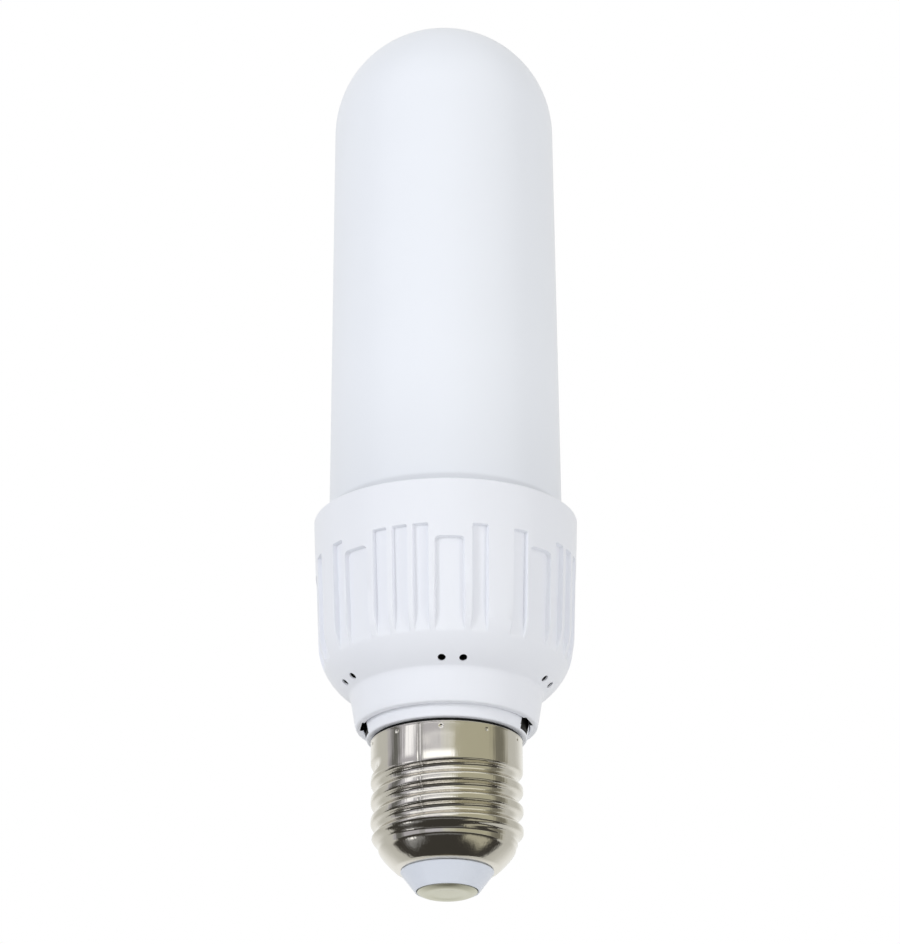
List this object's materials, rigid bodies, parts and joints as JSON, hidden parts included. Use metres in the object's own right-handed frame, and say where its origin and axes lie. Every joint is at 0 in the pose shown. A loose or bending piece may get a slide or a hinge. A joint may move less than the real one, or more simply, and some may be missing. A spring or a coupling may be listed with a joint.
{
  "type": "cylindrical led lamp",
  "caption": "Cylindrical LED lamp with a domed milky diffuser tube, a white housing with recessed panels and vent holes, and an E27 screw cap.",
  "frame": {"origin": "centre of the end contact's flat face, at the cap end of the lamp", "axes": "+Z along the lamp's axis from the end contact to the dome; -Y is the front, between two recessed panels where one pair of vent holes shows; +X is to the right seen from the front"},
  "size_m": [0.0462, 0.0462, 0.1619],
  "materials": {
    "cap_metal": "nickel-plated brass, bright rolled",
    "contact_metal": "nickel-plated, dull",
    "insulator": "white, satin",
    "housing_plastic": "white moulded, satin",
    "diffuser_plastic": "milky white, satin",
    "aluminium": "mill",
    "board_white": "white solder mask",
    "board_green": "green solder mask",
    "led": "yellow phosphor",
    "screw_steel": "zinc plated",
    "can_sleeve": "shrink sleeve",
    "film_case": "moulded case",
    "ferrite": "sintered",
    "winding": "tape",
    "black_moulding": "moulded",
    "resistor_body": "lacquered",
    "wire_red": "insulated",
    "wire_black": "insulated"
  },
  "bodies": {
    "root": {"end_contact": "contact_metal", "cap_insulator": "insulator", "screw_cap": "cap_metal", "joining_ring": "housing_plastic", "housing": "housing_plastic", "diffuser": "diffuser_plastic", "led_plate": "aluminium", "led_column": "aluminium", "led_strip_1": "board_white", "led_strip_2": "board_white", "led_strip_3": "board_white", "led_strip_4": "board_white", "led_strip_5": "board_white", "led_strip_6": "board_white", "strip_leds": "led", "top_led_board": "board_white", "top_leds": "led", "plate_screws": "screw_steel", "column_screws": "screw_steel", "top_board_screws": "screw_steel", "driver_board": "board_green", "input_capacitor": "can_sleeve", "output_capacitor": "can_sleeve", "film_capacitor": "film_case", "filter_inductor": "ferrite", "transformer_core": "ferrite", "transformer_winding": "winding", "bridge_rectifier": "black_moulding", "driver_chip": "black_moulding", "fuse_resistor": "resistor_body", "live_lead": "wire_red", "neutral_lead": "wire_black", "led_lead_right": "wire_red", "led_lead_left": "wire_black"}
  },
  "joints": []
}
